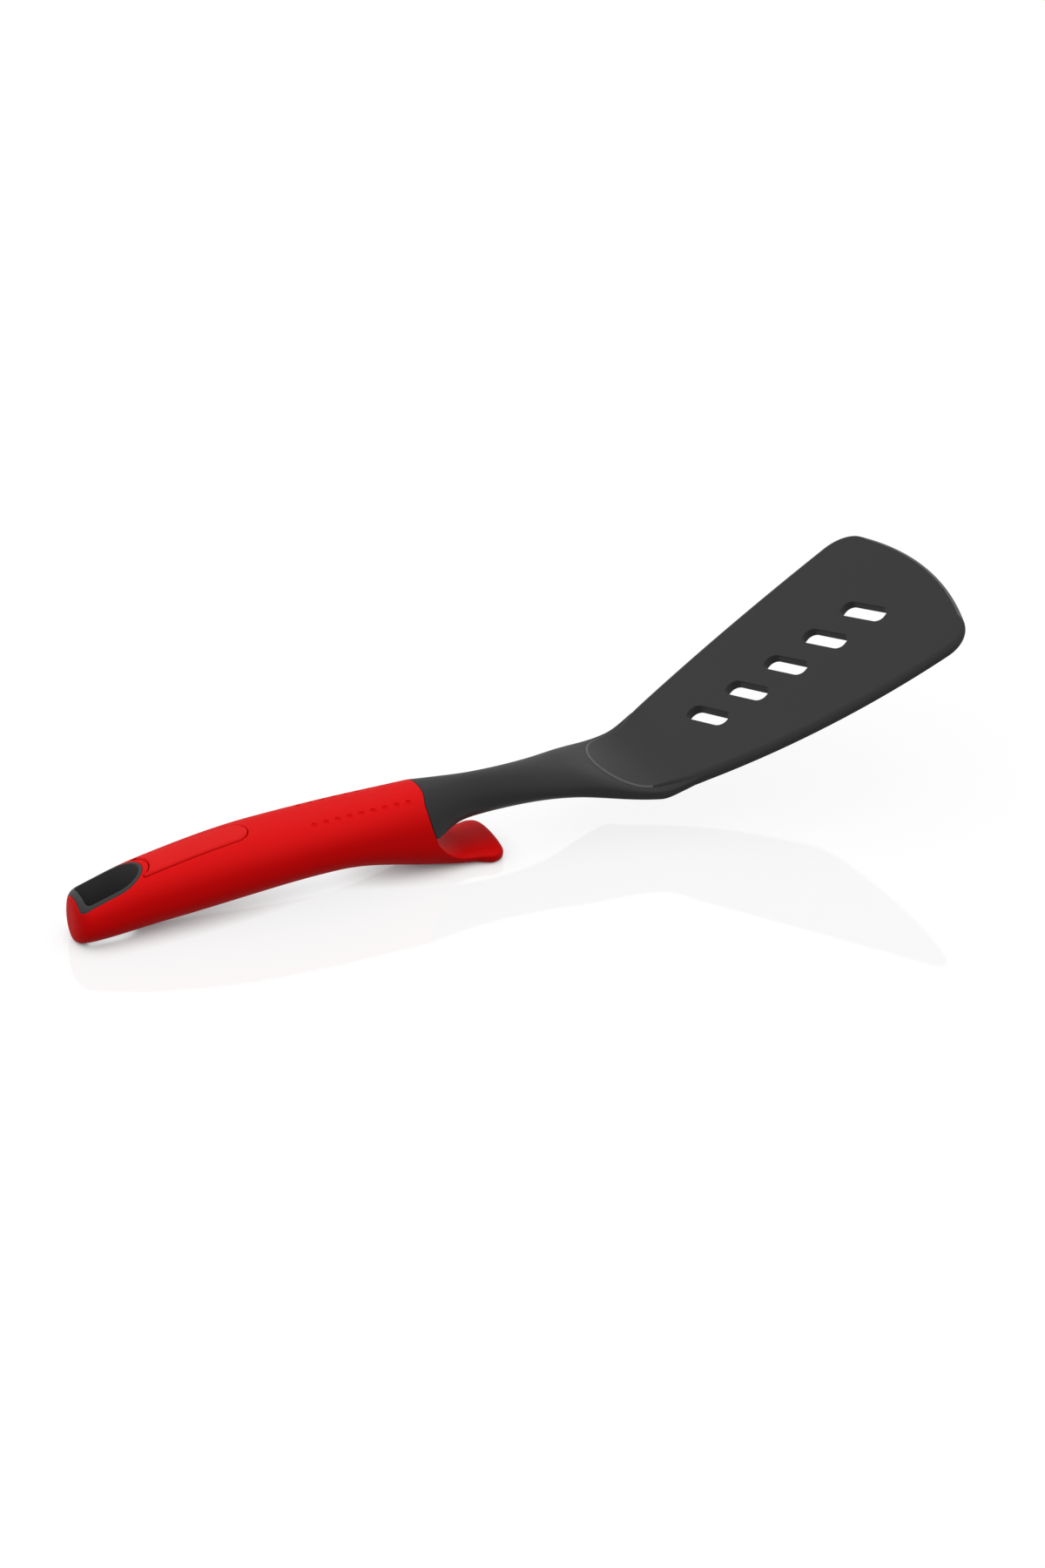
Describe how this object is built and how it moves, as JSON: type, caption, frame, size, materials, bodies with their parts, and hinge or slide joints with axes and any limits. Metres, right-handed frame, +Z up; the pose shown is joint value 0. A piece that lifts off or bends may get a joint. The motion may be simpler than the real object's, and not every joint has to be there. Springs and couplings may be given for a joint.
{
  "type": "slotted turner",
  "caption": "Slotted kitchen turner with an upswept blade, a flared neck, a soft arched grip with a rest foot under the neck, and a lined hanging hole in the tail.",
  "frame": {"origin": "on the resting plane, under the middle of the tool's length and width", "axes": "+X from the tail of the handle to the tip of the blade, +Z up from the resting plane, Y across"},
  "size_m": [0.3434, 0.094, 0.0764],
  "materials": {
    "head": "fine satin texture, dark grey heat-proof nylon",
    "core": "as moulded, hidden",
    "pin": "plain steel, hidden",
    "grip": "soft-touch satin, red",
    "pad": "soft-touch satin, red",
    "eye": "satin dark grey"
  },
  "bodies": {
    "root": {"turner_head": "head", "handle_core": "core", "tang_pin": "pin", "grip_sleeve": "grip", "thumb_pad": "pad", "hanging_eye": "eye"}
  },
  "joints": []
}
